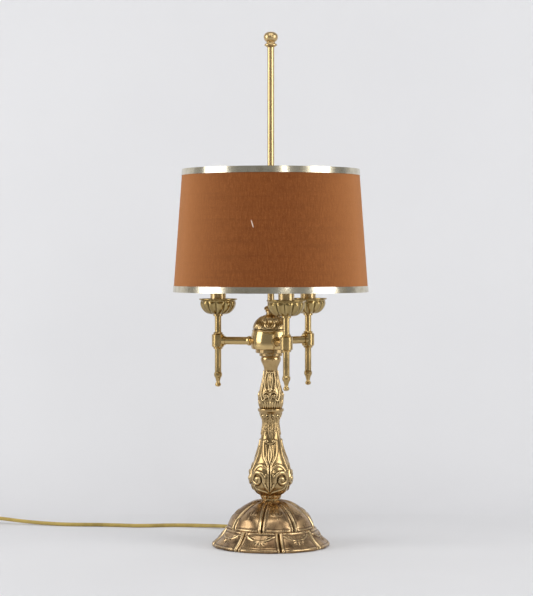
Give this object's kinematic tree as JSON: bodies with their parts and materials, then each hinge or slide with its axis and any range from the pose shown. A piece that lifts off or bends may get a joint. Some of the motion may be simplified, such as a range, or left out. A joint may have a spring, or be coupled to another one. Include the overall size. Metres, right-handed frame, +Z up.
{
  "type": "bouillotte lamp",
  "caption": "Brass table lamp with candle arms on a carved stem and a velvet drum shade that slides and turns on the guide rod above; cord with in-line switch and plug.",
  "frame": {"origin": "centre of the base's resting face, on the stem's axis", "axes": "+Z up the guide rod, +X to the right seen from the front, +Y away from the front, towards the cord's exit"},
  "size_m": [0.8097, 0.405, 0.7885],
  "materials": {
    "stem_brass": "polished, aged brown in the recesses",
    "polished_brass": "polished",
    "base_brass": "polished, coppery brown patina",
    "felt": "matte felt",
    "cast_iron": "rough",
    "steel": "zinc plated",
    "ceramic": "glazed",
    "wire_sheath": "matte",
    "black_plastic": "matte",
    "cap_metal": "satin",
    "bulb_glass": "clear, warm white",
    "velvet": "velvet nap on card",
    "lining": "smooth",
    "trim_ribbon": "champagne metallic ribbon",
    "ring_wire": "lacquered",
    "gold_plastic": "moulded",
    "rocker_plastic": "moulded",
    "cord_sheath": "satin gold sheath",
    "tie_strap": "woven strap",
    "pin_metal": "nickel plated"
  },
  "bodies": {
    "stand": {"felt_pad": "felt", "base_casting": "base_brass", "ballast_disc": "cast_iron", "stem_washer": "steel", "stem_nuts": "steel", "stem_pipe": "steel", "lower_baluster": "stem_brass", "upper_vase": "stem_brass", "seat_ring": "stem_brass", "hub_bowl": "polished_brass", "hub_dome": "polished_brass", "connector_block": "ceramic", "wiring": "wire_sheath", "rod_collar": "stem_brass", "guide_rod": "polished_brass", "rod_finial": "polished_brass", "arm_collars": "stem_brass", "arm_front": "stem_brass", "arm_right": "stem_brass", "arm_left": "stem_brass", "tee_front": "stem_brass", "tee_right": "stem_brass", "tee_left": "stem_brass", "uprights": "stem_brass", "drop_front": "stem_brass", "drop_right": "stem_brass", "drop_left": "stem_brass", "cup_front": "stem_brass", "cup_right": "stem_brass", "cup_left": "stem_brass", "candle_front": "polished_brass", "candle_right": "polished_brass", "candle_left": "polished_brass", "lampholders": "black_plastic", "bulb_caps": "cap_metal", "bulb_front": "bulb_glass", "bulb_right": "bulb_glass", "bulb_left": "bulb_glass", "cord_relief": "gold_plastic", "cord_lead": "cord_sheath", "cord_switch_base": "gold_plastic", "cord_switch_cover": "gold_plastic", "switch_reliefs": "gold_plastic", "cord_link": "cord_sheath", "cord_coil": "cord_sheath", "cord_tie": "tie_strap", "cord_tail": "cord_sheath", "plug_body": "gold_plastic", "plug_pins": "pin_metal"},
    "carrier": {"shade_carrier": "polished_brass", "carrier_nut": "polished_brass"},
    "thumb_shank": {"thumb_shank": "steel"},
    "thumb_head": {"thumb_head": "polished_brass"},
    "shade": {"shade_cover": "velvet", "shade_liner": "lining", "shade_trim_top": "trim_ribbon", "shade_trim_bottom": "trim_ribbon", "shade_ring_bottom": "ring_wire", "shade_spider": "ring_wire"},
    "rocker": {"cord_rocker": "rocker_plastic"}
  },
  "joints": [
    {"name": "shade_height", "type": "slide", "parent": "stand", "child": "carrier", "axis": [0, 0, 1], "range_m": [-0.055, 0.195]},
    {"name": "shade_turn", "type": "hinge", "parent": "carrier", "child": "shade", "pos_m": [0, 0, 0.5588], "axis": [0, 0, 1], "continuous": true},
    {"name": "thumbscrew_travel", "type": "slide", "parent": "carrier", "child": "thumb_shank", "axis": [-0.2756, 0.9613, 0], "range_m": [0, 0.0014]},
    {"name": "thumbscrew_turn", "type": "hinge", "parent": "thumb_shank", "child": "thumb_head", "pos_m": [0, 0, 0.5455], "axis": [-0.2756, 0.9613, 0], "range_deg": [0, 720]},
    {"name": "switch_rocker", "type": "hinge", "parent": "stand", "child": "rocker", "pos_m": [-0.502, 0.242, 0.0155], "axis": [0, 1, 0], "range_deg": [0, 18]}
  ],
  "couplings": [
    {"joint": "thumbscrew_travel", "follows": "thumbscrew_turn", "m_per_rad": 0.00011141}
  ]
}
